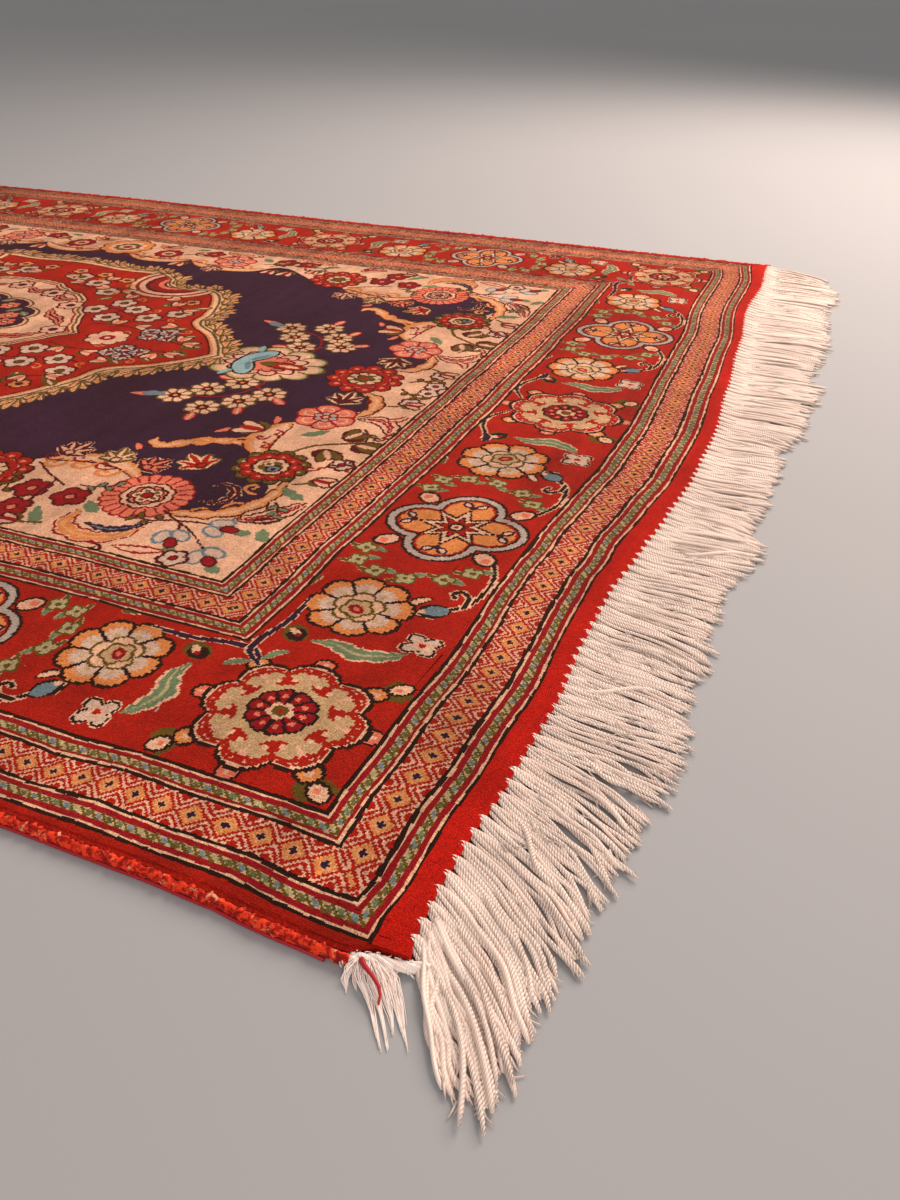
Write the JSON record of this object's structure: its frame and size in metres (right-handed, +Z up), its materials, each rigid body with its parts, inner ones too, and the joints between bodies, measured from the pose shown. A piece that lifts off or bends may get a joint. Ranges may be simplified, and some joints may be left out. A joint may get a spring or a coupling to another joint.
{
  "type": "persian rug",
  "caption": "Flat rectangular hand-knotted rug with a medallion field inside floral borders, overcast long sides and a corded ivory fringe on both ends, for laying on a floor.",
  "frame": {"origin": "middle of the underside, on the floor", "axes": "+X along the rug towards the fringed end that the picture shows, +Y across it to the far side, +Z up"},
  "size_m": [1.5924, 1.0516, 0.006],
  "materials": {
    "pile": "sheared knotted pile",
    "selvedge": "overcast yarn",
    "fringe": "twisted warp yarn"
  },
  "bodies": {
    "root": {"knotted_cloth": "pile", "selvedge_near": "selvedge", "selvedge_far": "selvedge", "fringe_right": "fringe", "fringe_left": "fringe", "selvedge_tuft": "fringe"}
  },
  "joints": []
}
